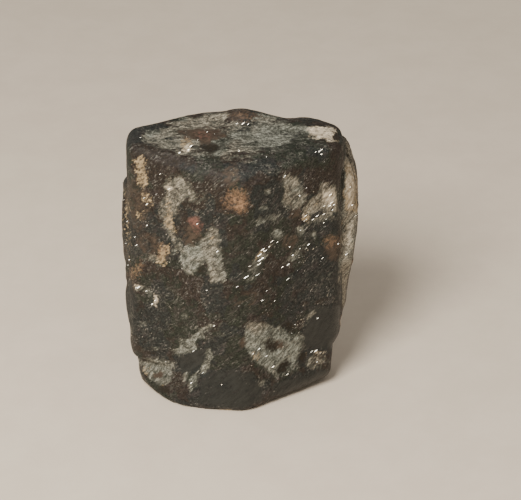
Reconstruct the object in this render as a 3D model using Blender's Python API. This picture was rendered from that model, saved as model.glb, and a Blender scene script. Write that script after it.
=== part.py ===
"""Fairy cross: a worn staurolite twin, two crystals grown through each other, with garnet and mica in the rock.

The stone is one solid. A wide upright crystal is crossed by a second one that runs left to right behind its
middle. Each crystal is a blank cut by its own flat faces. The two are fused, worn round at the edges, given
their lumps, pits and hollows, and thinned to a light faceted mesh that stands on a flat ground base.
"""

import bmesh
import bpy
import numpy as np
from mathutils import Vector

MM = 0.001
NAME = "staurolite_cross"

# Driving sizes in millimetres: X runs to the right, Y away from the viewer, Z up, Z = 0 at the base
HEIGHT = 33.0
EDGE_WEAR = 1.2
ARM_EDGE_WEAR = 1.0
FOOT_EDGE_WEAR = 0.8
SEAM_BLEND = 0.9
LUMP_BLEND = 0.5
BLANK = 80.0

# Each face is (turn about Z from +X, rise above the horizon, reach from the crystal's middle),
# in degrees, degrees and millimetres
UPRIGHT_AT = (0.0, 0.0, 0.0)
SIDES = {
    "front_left": (-118.5, -1.1, 7.15),
    "front": (-94.5, -1.1, 7.05),
    "front_right": (-61.5, -1.1, 7.0),
    "back_left": (116.0, 0.0, 7.4),
    "back": (90.0, 0.0, 6.35),
    "back_right": (70.5, 0.0, 6.85),
}
SHOULDERS = {
    **SIDES,
    "left": (180.0, 0.8, 12.65),
    "left_under": (-160.0, -50.5, 5.4),
    "right": (0.0, 0.5, 12.3),
    "right_under": (-20.5, -49.0, 3.3),
    "top": (0.0, 90.0, HEIGHT),
    "top_front": (-90.0, 56.5, 30.45),
    "underside": (0.0, -90.0, -3.5),
}
FOOT = {
    **SIDES,
    "front_left": (-111.2, 8.0, 7.85),
    "heel": (-135.2, 16.1, 9.2),
    "left": (180.0, -2.0, 11.75),
    "right": (0.0, -2.9, 11.1),
    "top": (0.0, 90.0, 9.0),
    "left_corner": (-148.8, -34.4, 8.35),
    "right_toe": (-53.3, -43.2, 4.85),
    "base": (0.0, -90.0, 0.0),
}
CROSSING_AT = (0.0, 4.4, 19.2)
CROSSING = {
    "front_upper": (-86.0, 25.3, 5.06),
    "front_lower": (-94.0, -25.3, 5.06),
    "back_upper": (94.0, 25.3, 5.06),
    "back_lower": (86.0, -25.3, 5.06),
    "top": (180.0, 72.6, 9.05),
    "underside": (0.0, -86.6, 11.2),
    "left": (180.0, 0.0, 13.1),
    "left_upper": (180.0, 20.1, 14.9),
    "right": (0.0, -6.5, 13.9),
    "right_upper": (0.0, 15.5, 15.25),
    "right_lower": (0.0, -11.5, 14.7),
}

# Swellings of the crystals: middle and half sizes
SWELLINGS = {
    "back_of_top": ((0.85, 4.4, 31.5), (3.55, 1.7, 2.35)),
    "right_corner_of_top": ((7.65, 2.5, 31.6), (3.4, 2.3, 2.05)),
    "right_flank": ((10.3, 1.85, 11.25), (2.75, 2.4, 5.45)),
    "left_flank": ((-10.85, 1.2, 10.5), (2.3, 2.4, 4.35)),
    "right_seam": ((11.7, 1.6, 25.0), (2.1, 1.9, 5.0)),
    "right_shoulder": ((10.5, 0.4, 30.2), (2.0, 2.2, 2.6)),
}

# Garnets stand proud of the face: middle, radius, height
GARNETS = {
    "round_garnet": ((-0.1, -7.6, 29.0), 1.7, 0.30),
    "pink_garnet": ((-4.8, -6.1, 25.1), 0.9, 0.28),
    "top_garnet": ((-2.6, -0.2, 33.0), 1.3, 0.22),
    "top_back_garnet": ((0.6, 3.4, 33.2), 1.0, 0.16),
    "right_garnet": ((10.7, -2.6, 20.6), 0.9, 0.20),
    "arm_garnet": ((-6.4, 7.6, 23.2), 1.5, 0.34),
    "lower_arm_garnet": ((5.2, 8.0, 14.6), 1.2, 0.28),
    "back_garnet": ((-2.4, 6.2, 5.4), 1.4, 0.30),
    "left_end_garnet": ((-12.6, 4.6, 17.4), 1.1, 0.24),
    "right_end_garnet": ((14.0, 5.6, 20.6), 1.2, 0.26),
}

# Pits where a grain has fallen out: middle, radius, depth
PITS = {
    "top_pit": ((-4.4, -1.6, 33.0), 0.8, 0.40),
    "corner_pit": ((11.0, 0.9, 32.8), 0.7, 0.35),
    "lower_front_pit": ((4.2, -5.9, 8.5), 0.8, 0.30),
    "lower_left_pit": ((-9.2, -3.4, 3.0), 0.7, 0.30),
    "left_edge_pit": ((-11.3, -2.4, 16.1), 0.8, 0.25),
    "groove_pit": ((12.2, -1.2, 24.6), 0.9, 0.35),
    "arm_pit": ((2.2, 7.4, 24.2), 1.0, 0.40),
    "arm_edge_pit": ((-9.4, 9.0, 18.4), 0.9, 0.40),
    "back_pit": ((5.0, 5.2, 30.0), 0.9, 0.35),
    "low_back_pit": ((4.4, 5.6, 3.4), 0.8, 0.30),
}

# Mica weathers back a little from the staurolite. Each patch is a stroke: two ends and a width
MICA_DEPTH = 0.16
MICA_EDGE = 0.5
MICA_PATCHES = {
    "boot_leg": ((-8.0, -4.4, 29.6), (-7.9, -4.4, 23.2), 1.0),
    "boot_toe": ((-7.2, -4.8, 28.6), (-4.9, -6.0, 27.9), 1.2),
    "middle_left": ((-4.6, -6.0, 20.6), (-3.0, -6.7, 23.4), 1.5),
    "middle_right": ((-3.0, -6.7, 22.4), (-1.9, -7.0, 18.6), 1.1),
    "oval": ((6.2, -5.1, 29.8), (6.9, -4.8, 27.2), 0.8),
    "triangle": ((10.4, -2.8, 27.2), (7.8, -4.2, 25.3), 1.0),
    "low_right": ((2.6, -6.6, 11.2), (6.9, -4.5, 6.8), 2.2),
    "low_left": ((-9.9, -3.0, 3.6), (-7.6, -4.6, 1.8), 1.5),
    "slant": ((-6.4, -5.0, 7.2), (-2.6, -6.9, 11.6), 0.7),
    "low_slant": ((-5.4, -5.6, 2.6), (-3.2, -6.6, 7.0), 0.6),
    "arm_patch": ((4.0, 7.2, 24.0), (8.4, 7.8, 22.6), 1.6),
    "arm_low_patch": ((-8.6, 7.6, 14.4), (-4.2, 7.0, 12.6), 1.4),
    "back_low_patch": ((1.0, 6.2, 6.4), (5.4, 5.4, 4.6), 1.2),
    "left_side_patch": ((-12.5, 0.8, 26.8), (-12.5, 0.2, 22.4), 1.2),
    "right_side_patch": ((12.2, 0.2, 13.8), (12.0, 0.4, 8.6), 1.1),
}

# Gentle unevenness of the worn faces
SWELL_HEIGHT = 0.14
SWELL_LENGTH = 5.5
SWELL_SEED = 5
LATTICE = 16

VOXEL = 0.36
CALMING_STEPS = 4
TRIANGLES = 8200
BASE_CUT = 0.05


def face_normal(turn, rise):
    """Unit vector of a face from its turn and its rise in degrees."""
    turn, rise = np.radians(turn), np.radians(rise)
    return np.array((np.cos(rise) * np.cos(turn), np.cos(rise) * np.sin(turn), np.sin(rise)))


def worn_crystal(points, middle, faces, wear):
    """Distance to a crystal with round edges: the length of how far a point is past each face, less the wear."""
    past = 0.0
    for turn, rise, reach in faces.values():
        along = (points - np.array(middle)) @ face_normal(turn, rise)
        past = past + np.clip(along - (reach - wear), 0, None) ** 2
    return np.sqrt(past) - wear


def swelling(points, middle, half_sizes):
    """Rough distance to an ellipsoid."""
    scaled = (points - np.array(middle)) / np.array(half_sizes)
    return (np.linalg.norm(scaled, axis=-1) - 1) * min(half_sizes)


def blend(first, second, width):
    """The lesser of two distances, with the corner between them filled over a width."""
    near = np.clip(width - np.abs(first - second), 0, None) / width
    return np.minimum(first, second) - near * near * width / 4


def stone(points):
    """Distance to the whole worn twin, below zero inside it."""
    shape = worn_crystal(points, UPRIGHT_AT, SHOULDERS, EDGE_WEAR)
    shape = np.minimum(shape, worn_crystal(points, UPRIGHT_AT, FOOT, FOOT_EDGE_WEAR))
    shape = blend(shape, worn_crystal(points, CROSSING_AT, CROSSING, ARM_EDGE_WEAR), SEAM_BLEND)
    for middle, half_sizes in SWELLINGS.values():
        shape = blend(shape, swelling(points, middle, half_sizes), LUMP_BLEND)
    return shape


def slope(points):
    """Outward direction of the stone's surface near each point, from small steps along X, Y and Z."""
    step = 0.02
    steps = np.eye(3) * step
    change = [stone(points + one) - stone(points - one) for one in steps]
    direction = np.stack(change, axis=-1)
    return direction / (np.linalg.norm(direction, axis=-1, keepdims=True) + 1e-9)


def uneven(points, length, seed):
    """Smooth random field from -1 to 1: values on a lattice of the given spacing, eased between its corners."""
    corners = np.random.default_rng(seed).uniform(-1, 1, (LATTICE, LATTICE, LATTICE))
    place = points / length + LATTICE
    cell = np.floor(place).astype(int)
    share = place - cell
    share = share * share * (3 - 2 * share)
    total = 0.0
    for corner in np.ndindex(2, 2, 2):
        at = (cell + corner) % LATTICE
        weight = np.prod(np.where(corner, share, 1 - share), axis=-1)
        total = total + weight * corners[at[..., 0], at[..., 1], at[..., 2]]
    return total


def dome(points, middle, radius):
    """1 at the middle, falling to 0 at the radius as a round hill."""
    far = np.linalg.norm(points - np.array(middle), axis=-1) / radius
    return np.clip(1 - far * far, 0, 1) ** 1.5


def stroke(points, start, end, width):
    """1 inside a capsule between two ends, easing to 0 over the mica's edge."""
    start, end = np.array(start), np.array(end)
    run = end - start
    share = np.clip((points - start) @ run / (run @ run), 0, 1)
    far = np.linalg.norm(points - start - share[..., None] * run, axis=-1)
    return np.clip((width + MICA_EDGE / 2 - far) / MICA_EDGE, 0, 1)


def relief(points):
    """Height above the plain worn surface: swells, garnets, pits and weathered mica."""
    height = SWELL_HEIGHT * uneven(points, SWELL_LENGTH, SWELL_SEED)
    mica = np.zeros(len(points))
    for start, end, width in MICA_PATCHES.values():
        mica = np.maximum(mica, stroke(points, start, end, width))
    height = height - MICA_DEPTH * mica
    for middle, radius, rise in GARNETS.values():
        height = height + rise * dome(points, middle, radius)
    for middle, radius, depth in PITS.values():
        height = height - depth * dome(points, middle, radius)
    return height


def cut_flat(form, point, normal):
    """Cut a closed form with a plane, drop what is outside it and fill the cut."""
    everything = form.verts[:] + form.edges[:] + form.faces[:]
    bmesh.ops.bisect_plane(form, geom=everything, dist=1e-7, plane_co=point, plane_no=normal, clear_outer=True)
    open_edges = [edge for edge in form.edges if edge.is_boundary]
    bmesh.ops.holes_fill(form, edges=open_edges)


def cut_crystal(middle, faces):
    """A blank cube cut by every face of a crystal."""
    form = bmesh.new()
    bmesh.ops.create_cube(form, size=BLANK * MM)
    bmesh.ops.translate(form, verts=form.verts, vec=Vector(middle) * MM)
    for turn, rise, reach in faces.values():
        normal = Vector(face_normal(turn, rise))
        cut_flat(form, (Vector(middle) + normal * reach) * MM, normal)
    return form


def join_crystals():
    """One mesh holding the shoulders and foot of the upright crystal and the crossing crystal."""
    mesh = bpy.data.meshes.new(NAME)
    joined = bmesh.new()
    for middle, faces in ((UPRIGHT_AT, SHOULDERS), (UPRIGHT_AT, FOOT), (CROSSING_AT, CROSSING)):
        crystal = cut_crystal(middle, faces)
        crystal.to_mesh(mesh)
        crystal.free()
        joined.from_mesh(mesh)
    joined.to_mesh(mesh)
    joined.free()
    return mesh


def apply_modifiers(item):
    """Replace an object's mesh by the mesh that its modifiers give, and drop them."""
    graph = bpy.context.evaluated_depsgraph_get()
    mesh = bpy.data.meshes.new_from_object(item.evaluated_get(graph))
    item.modifiers.clear()
    item.data = mesh


def fuse(item):
    """Turn the crossing closed forms into one skin."""
    remesh = item.modifiers.new("fuse", "REMESH")
    remesh.mode = "VOXEL"
    remesh.voxel_size = VOXEL * MM
    apply_modifiers(item)


def wear_down(mesh):
    """Bring every point to the worn surface, then raise or sink it by the relief."""
    flat = np.empty(len(mesh.vertices) * 3)
    mesh.vertices.foreach_get("co", flat)
    points = flat.reshape(-1, 3) / MM
    for _ in range(4):
        points = points - slope(points) * stone(points)[:, None]
    points = points + slope(points) * relief(points)[:, None]
    mesh.vertices.foreach_set("co", (points * MM).ravel())
    mesh.update()


def calm(item):
    """Even out the skin, which is rough where two crystals meet in a narrow gap."""
    smooth = item.modifiers.new("calm", "SMOOTH")
    smooth.factor = 0.5
    smooth.iterations = CALMING_STEPS
    apply_modifiers(item)


def thin_out(item):
    """Collapse the fine skin to the number of triangles wanted."""
    item.data.calc_loop_triangles()
    decimate = item.modifiers.new("thin", "DECIMATE")
    decimate.ratio = TRIANGLES / len(item.data.loop_triangles)
    decimate.use_collapse_triangulate = True
    apply_modifiers(item)


def grind_base(mesh):
    """Cut the base flat, and set the stone on Z = 0 with the middle of its box over the origin."""
    form = bmesh.new()
    form.from_mesh(mesh)
    cut_flat(form, Vector((0, 0, BASE_CUT * MM)), Vector((0, 0, -1)))
    bmesh.ops.triangulate(form, faces=form.faces[:])
    corners = np.array([vertex.co for vertex in form.verts])
    low, high = corners.min(axis=0), corners.max(axis=0)
    middle = (low + high) / 2
    bmesh.ops.translate(form, verts=form.verts, vec=Vector((-middle[0], -middle[1], -low[2])))
    form.to_mesh(mesh)
    form.free()


def stone_material():
    """Dark brown staurolite with a dull polish."""
    material = bpy.data.materials.new("staurolite")
    material.use_nodes = True
    shader = material.node_tree.nodes["Principled BSDF"]
    shader.inputs["Base Color"].default_value = (0.050, 0.040, 0.034, 1.0)
    shader.inputs["Roughness"].default_value = 0.42
    shader.inputs["Metallic"].default_value = 0.0
    return material


def main():
    for item in list(bpy.data.objects):
        bpy.data.objects.remove(item)
    stone_object = bpy.data.objects.new(NAME, join_crystals())
    bpy.context.scene.collection.objects.link(stone_object)
    fuse(stone_object)
    wear_down(stone_object.data)
    calm(stone_object)
    thin_out(stone_object)
    grind_base(stone_object.data)
    stone_object.data.materials.clear()
    stone_object.data.materials.append(stone_material())


main()
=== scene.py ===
# %% [markdown]
# # A fairy cross of staurolite
#
# A fairy cross is a twin: two crystals of staurolite that grew through each other in mica schist. This one
# has been worn smooth. The wide upright crystal faces the viewer, and the crossing one shows only as a
# strip past its left and right edges. Patches of silvery mica and spots of garnet from the parent rock are
# still part of it.
#
# The lesson builds one skin for the whole stone with numpy. It then works out where each mineral lies and
# writes that into the mesh as attributes. One material reads them, and loose flakes of mica catch the
# light.

import bpy
import numpy as np
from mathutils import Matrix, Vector


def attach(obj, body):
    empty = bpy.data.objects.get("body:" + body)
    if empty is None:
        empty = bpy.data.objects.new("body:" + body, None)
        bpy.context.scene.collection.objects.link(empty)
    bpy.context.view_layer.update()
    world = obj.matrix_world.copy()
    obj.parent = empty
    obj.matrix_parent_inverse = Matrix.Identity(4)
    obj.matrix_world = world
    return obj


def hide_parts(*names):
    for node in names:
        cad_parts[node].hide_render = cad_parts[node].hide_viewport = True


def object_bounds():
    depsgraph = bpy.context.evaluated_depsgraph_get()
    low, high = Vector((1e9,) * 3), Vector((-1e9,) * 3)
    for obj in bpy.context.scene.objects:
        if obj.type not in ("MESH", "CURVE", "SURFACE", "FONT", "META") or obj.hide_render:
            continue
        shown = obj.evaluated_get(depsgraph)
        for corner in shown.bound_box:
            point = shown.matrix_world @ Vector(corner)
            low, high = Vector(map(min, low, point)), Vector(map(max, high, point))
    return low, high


MM = 0.001
NODE = "staurolite_cross"

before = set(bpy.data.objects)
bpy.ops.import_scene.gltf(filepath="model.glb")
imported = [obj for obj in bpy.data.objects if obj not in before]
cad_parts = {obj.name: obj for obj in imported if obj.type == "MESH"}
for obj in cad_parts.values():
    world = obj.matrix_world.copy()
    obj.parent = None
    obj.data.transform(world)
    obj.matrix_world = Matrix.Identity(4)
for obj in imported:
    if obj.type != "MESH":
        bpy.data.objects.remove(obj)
cad_low, cad_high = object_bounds()
print("the solid spans", [round((high - low) / MM, 1) for low, high in zip(cad_low, cad_high)], "mm")

# %% [markdown]
# ## The two crystals
#
# A staurolite crystal is a six-sided prism with flat ends. It could be carved from a cube with Bisect cuts.
# As a formula it is even shorter. Each face has a turn about the vertical, a rise above the horizon and a
# reach from the crystal's middle. A point is outside when it lies past any face. Taking the length of all
# the overshoots together rounds every edge, as tumbling does, and the wear is the radius.

# %% The faces of the crystals
HEIGHT = 33.0
EDGE_WEAR = 1.2
ARM_EDGE_WEAR = 1.0
FOOT_EDGE_WEAR = 0.8
SEAM_BLEND = 0.9
LUMP_BLEND = 0.5
UPRIGHT_AT = (0.0, 0.0, 0.0)
CROSSING_AT = (0.0, 4.4, 19.2)

# Faces as (turn, rise, reach), in degrees, degrees and millimetres
SIDES = {
    "front_left": (-118.5, -1.1, 7.15),
    "front": (-94.5, -1.1, 7.05),
    "front_right": (-61.5, -1.1, 7.0),
    "back_left": (116.0, 0.0, 7.4),
    "back": (90.0, 0.0, 6.35),
    "back_right": (70.5, 0.0, 6.85),
}
SHOULDERS = {
    **SIDES,
    "left": (180.0, 0.8, 12.65),
    "left_under": (-160.0, -50.5, 5.4),
    "right": (0.0, 0.5, 12.3),
    "right_under": (-20.5, -49.0, 3.3),
    "top": (0.0, 90.0, HEIGHT),
    "top_front": (-90.0, 56.5, 30.45),
    "underside": (0.0, -90.0, -3.5),
}
FOOT = {
    **SIDES,
    "front_left": (-111.2, 8.0, 7.85),
    "heel": (-135.2, 16.1, 9.2),
    "left": (180.0, -2.0, 11.75),
    "right": (0.0, -2.9, 11.1),
    "top": (0.0, 90.0, 9.0),
    "left_corner": (-148.8, -34.4, 8.35),
    "right_toe": (-53.3, -43.2, 4.85),
    "base": (0.0, -90.0, 0.0),
}
CROSSING = {
    "front_upper": (-86.0, 25.3, 5.06),
    "front_lower": (-94.0, -25.3, 5.06),
    "back_upper": (94.0, 25.3, 5.06),
    "back_lower": (86.0, -25.3, 5.06),
    "top": (180.0, 72.6, 9.05),
    "underside": (0.0, -86.6, 11.2),
    "left": (180.0, 0.0, 13.1),
    "left_upper": (180.0, 20.1, 14.9),
    "right": (0.0, -6.5, 13.9),
    "right_upper": (0.0, 15.5, 15.25),
    "right_lower": (0.0, -11.5, 14.7),
}
# Swellings as (middle, half sizes)
SWELLINGS = {
    "back_of_top": ((0.85, 4.4, 31.5), (3.55, 1.7, 2.35)),
    "right_corner_of_top": ((7.65, 2.5, 31.6), (3.4, 2.3, 2.05)),
    "right_flank": ((10.3, 1.85, 11.25), (2.75, 2.4, 5.45)),
    "left_flank": ((-10.85, 1.2, 10.5), (2.3, 2.4, 4.35)),
    "right_seam": ((11.7, 1.6, 25.0), (2.1, 1.9, 5.0)),
    "right_shoulder": ((10.5, 0.4, 30.2), (2.0, 2.2, 2.6)),
}
print(len(SHOULDERS) + len(FOOT) + len(CROSSING), "faces cut the crystals, and", len(SWELLINGS), "swellings")

# %% The crystals as formulas
SLOPE_STEP = 0.02
TINY = 1e-9


def face_normal(turn, rise):
    """Unit vector from a turn about the vertical and a rise above the horizon, in degrees."""
    turn, rise = np.radians(turn), np.radians(rise)
    return np.array((np.cos(rise) * np.cos(turn), np.cos(rise) * np.sin(turn), np.sin(rise)))


def unit(vectors, least=0.0):
    """Vectors divided by their length, to which a tiny least length can be added so that it is never zero."""
    return vectors / (np.linalg.norm(vectors, axis=-1, keepdims=True) + least)


def worn_crystal(points, middle, faces, wear):
    """Distance to a crystal with round edges: the length of all overshoots past its faces, less the wear."""
    past = 0.0
    for turn, rise, reach in faces.values():
        along = (points - np.array(middle)) @ face_normal(turn, rise)
        past = past + np.clip(along - (reach - wear), 0, None) ** 2
    return np.sqrt(past) - wear


def swelling(points, middle, half_sizes):
    """Rough distance to an ellipsoid: the length in half sizes, less one, times the least half size."""
    scaled = (points - np.array(middle)) / np.array(half_sizes)
    return (np.linalg.norm(scaled, axis=-1) - 1) * min(half_sizes)


def blend(first, second, width):
    """The lesser of two distances, with the corner between them filled over a width."""
    near = np.clip(width - np.abs(first - second), 0, None) / width
    return np.minimum(first, second) - near * near * width / 4


def stone(points):
    """Distance to the whole worn twin, below zero inside it."""
    shape = worn_crystal(points, UPRIGHT_AT, SHOULDERS, EDGE_WEAR)
    shape = np.minimum(shape, worn_crystal(points, UPRIGHT_AT, FOOT, FOOT_EDGE_WEAR))
    shape = blend(shape, worn_crystal(points, CROSSING_AT, CROSSING, ARM_EDGE_WEAR), SEAM_BLEND)
    for middle, half_sizes in SWELLINGS.values():
        shape = blend(shape, swelling(points, middle, half_sizes), LUMP_BLEND)
    return shape


def slope(points):
    """Outward unit direction of the surface near each point, from small steps along X, Y and Z."""
    change = [stone(points + one) - stone(points - one) for one in np.eye(3) * SLOPE_STEP]
    return unit(np.stack(change, axis=-1), TINY)


# %% [markdown]
# ## One skin from a box of directions
#
# A UV sphere would crowd its points at the poles, and a remesh would give a different mesh for each small
# change. A grid on the six sides of a box stays even. Each grid point gives a direction from the stone's
# middle, and the skin lies where the distance along that direction turns to zero. Halving the gap again and
# again finds it for all points at once.

# %% The skin's grid
CELL = 0.207
GRID_LOW = np.array((-13.1, -7.5, 0.0))
GRID_HIGH = np.array((14.2, 9.7, HEIGHT))
MIDDLE = np.array((0.0, 1.0, 16.5))
NEAREST = 3.0
FARTHEST = 30.0
HALVINGS = 26
PLACE_DIGITS = 6


def box_grid(low, high, cell):
    """Points and four-sided faces on a box: for each side, a flat grid over its two other directions."""
    counts = np.round((high - low) / cell).astype(int)
    points, faces, first = [], [], 0
    for across in range(3):
        one, two = [axis for axis in range(3) if axis != across]
        u, v = np.meshgrid(np.linspace(low[one], high[one], counts[one] + 1),
                           np.linspace(low[two], high[two], counts[two] + 1), indexing="ij")
        for end in (0, 1):
            side = np.empty(u.shape + (3,))
            side[..., one], side[..., two], side[..., across] = u, v, (low, high)[end][across]
            number = first + np.arange(u.size).reshape(u.shape)
            corners = [number[:-1, :-1], number[1:, :-1], number[1:, 1:], number[:-1, 1:]]
            quads = np.stack(corners, -1).reshape(-1, 4)
            inward = (end == 0) ^ (across == 1)
            faces.append(quads[:, ::-1] if inward else quads)
            points.append(side.reshape(-1, 3))
            first += u.size
    return np.concatenate(points), np.concatenate(faces)


def sew(points, faces):
    """Give points that share a place on the box's edges one number, so that its sides close into one skin."""
    keys = np.round(points, PLACE_DIGITS)
    _, first, number = np.unique(keys, axis=0, return_index=True, return_inverse=True)
    return points[first], number.reshape(-1)[faces]


def project(points):
    """Send each point along its direction from the middle to the surface, by halving the gap it lies in."""
    away = unit(points - MIDDLE)
    near = np.full(len(points), NEAREST)
    far = np.full(len(points), FARTHEST)
    for _ in range(HALVINGS):
        half = (near + far) / 2
        inside = stone(MIDDLE + away * half[:, None]) < 0
        near, far = np.where(inside, half, near), np.where(inside, far, half)
    return MIDDLE + away * near[:, None]


grid_points, grid_faces = sew(*box_grid(GRID_LOW, GRID_HIGH, CELL))
skin = project(grid_points)
outward = slope(skin)
print("the skin has", len(skin), "points and", 2 * len(grid_faces), "triangles")

# %% [markdown]
# ## The camera
#
# The camera comes early, because the minerals on the front are placed by where they show in the picture.
# Its numbers are a turn, a height above the horizon, a distance and one point of the stone with the pixel
# that it falls on.

# %% Camera
PICTURE_MIDDLE = (260.5, 250.0)
PICTURE_WIDTH = 521
AIM = np.array((0.0, 0.0, 16.0))
AIM_PIXEL = (236.0, 265.0)
PIXELS_PER_MM = 8.6
VIEW_TURN = -90.0
VIEW_RISE = 32.0
VIEW_DISTANCE = 250.0
SENSOR_MM = 36.0
# A face is seen in full once the cosine of its angle to the camera passes the second of these
TURNED = (-0.05, 0.2)
SEEN = 0.5

focal = PIXELS_PER_MM * VIEW_DISTANCE
to_eye = face_normal(VIEW_TURN, VIEW_RISE)
eye = AIM + to_eye * VIEW_DISTANCE
level_right = np.array((1.0, 0.0, 0.0))
look = (-to_eye + level_right * (PICTURE_MIDDLE[0] - AIM_PIXEL[0]) / focal
        + np.cross(to_eye, level_right) * (AIM_PIXEL[1] - PICTURE_MIDDLE[1]) / focal)
look = look / np.linalg.norm(look)
view_right = np.cross(look, (0.0, 0.0, 1.0))
view_right = view_right / np.linalg.norm(view_right)
view_up = np.cross(view_right, look)


def seen_at(points):
    """Pixel of each point: its offset along the view's right and up, over its distance ahead, times focal."""
    offset = points - eye
    ahead = offset @ look
    across = PICTURE_MIDDLE[0] + focal * (offset @ view_right) / ahead
    down = PICTURE_MIDDLE[1] - focal * (offset @ view_up) / ahead
    return np.stack([across, down], axis=-1)


def ease(value, low, high):
    """0 below low, 1 above high, and a smooth step between them."""
    share = np.clip((value - low) / (high - low), 0, 1)
    return share * share * (3 - 2 * share)


to_camera = unit(eye - skin)
facing = ease((outward * to_camera).sum(axis=1), *TURNED)
front = facing > SEEN
pixel = seen_at(skin)
print("the stone fills pixels", pixel[front].min(axis=0).round(), "to", pixel[front].max(axis=0).round())

# %% [markdown]
# ## Where the minerals lie
#
# Painting a texture would need an image. Instead every mineral has a field: how deep a point lies inside
# its patch, below zero outside. Patches that the picture shows are closed outlines or ovals in its pixels.
# On the sides and the back, where nobody has seen them, a smooth random field stands in, and the two are
# mixed by how far a face is turned to the camera.

# %% Random fields
LATTICE = 16
LAYER_COUNT = 3
FABRIC_RISE = 42.0
FABRIC_STRETCH = 3.5


def uneven(points, length, seed):
    """Smooth random field from -1 to 1: values on a lattice of some spacing, eased between its corners."""
    corners = np.random.default_rng(seed).uniform(-1, 1, (LATTICE, LATTICE, LATTICE))
    place = points / length + LATTICE
    cell = np.floor(place).astype(int)
    share = place - cell
    share = share * share * (3 - 2 * share)
    total = 0.0
    for corner in np.ndindex(2, 2, 2):
        at = (cell + corner) % LATTICE
        weight = np.prod(np.where(corner, share, 1 - share), axis=-1)
        total = total + weight * corners[at[..., 0], at[..., 1], at[..., 2]]
    return total


def layered(points, length, seed):
    """Uneven fields laid over each other, each half as long and half as strong as the one before."""
    return sum(uneven(points, length / 2 ** step, seed + step) / 2 ** step for step in range(LAYER_COUNT))


def drawn_out(points, stretch):
    """Points shortened along the rock's grain, so that a field over them draws out into fibres."""
    grain = face_normal(0.0, FABRIC_RISE)
    return points - (points @ grain)[:, None] * grain * (1 - 1 / stretch)


print("the rock's grain rises", FABRIC_RISE, "degrees to the right")

# %% Patches
EDGE_SOFTNESS = 4.5
RAGGED = 2.4
RAGGED_LENGTH = 1.1
RAGGED_SEED = 55


def inside_outline(place, outline):
    """Depth inside a closed outline, below zero outside.

    It is the distance to the nearest edge. A place is inside where a line to the right of it crosses an odd
    number of edges.
    """
    corners = np.array(outline, float)
    nearest = np.full(len(place), np.inf)
    odd = np.zeros(len(place), bool)
    for start, end in zip(corners, np.roll(corners, -1, axis=0)):
        run = end - start
        share = np.clip((place - start) @ run / (run @ run), 0, 1)
        nearest = np.minimum(nearest, np.linalg.norm(place - start - share[:, None] * run, axis=1))
        spans = (start[1] > place[:, 1]) != (end[1] > place[:, 1])
        crossing = start[0] + (place[:, 1] - start[1]) * run[0] / (run[1] or TINY)
        odd ^= spans & (place[:, 0] < crossing)
    return np.where(odd, nearest, -nearest)


def inside_oval(place, middle_x, middle_y, half_x, half_y, turn=0.0):
    """Depth inside an oval turned by some degrees, counted from X towards the top of the picture."""
    turn = np.radians(turn)
    x, y = place[:, 0] - middle_x, middle_y - place[:, 1]
    along, across = x * np.cos(turn) + y * np.sin(turn), y * np.cos(turn) - x * np.sin(turn)
    return (1 - np.hypot(along / half_x, across / half_y)) * min(half_x, half_y)


ragged = RAGGED * layered(skin, RAGGED_LENGTH, RAGGED_SEED)


def painted(patches, softness=EDGE_SOFTNESS):
    """Amount of a mineral: the most that any patch gives, eased from nothing across a ragged edge."""
    amounts = []
    for amount, *form in patches.values():
        depth = inside_outline(pixel, form[0]) if isinstance(form[0], list) else inside_oval(pixel, *form)
        amounts.append(amount * ease(depth + ragged, -softness, softness))
    return np.max(amounts, axis=0)


print("a patch is eased over", EDGE_SOFTNESS, "pixels on each side of its edge")

# %% [markdown]
# The mica is a schist of fine silver scales. Its patches have the odd shapes of what was left between
# staurolite grains: a boot, a wedge, an oval, a banner, a fan and some slanting strips. A patch is an
# amount from 0 to 1 and either a closed outline or an oval, given as middle, half sizes and turn. The
# material later strews single grains where the amount is low and closes them up where it is high.

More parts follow.
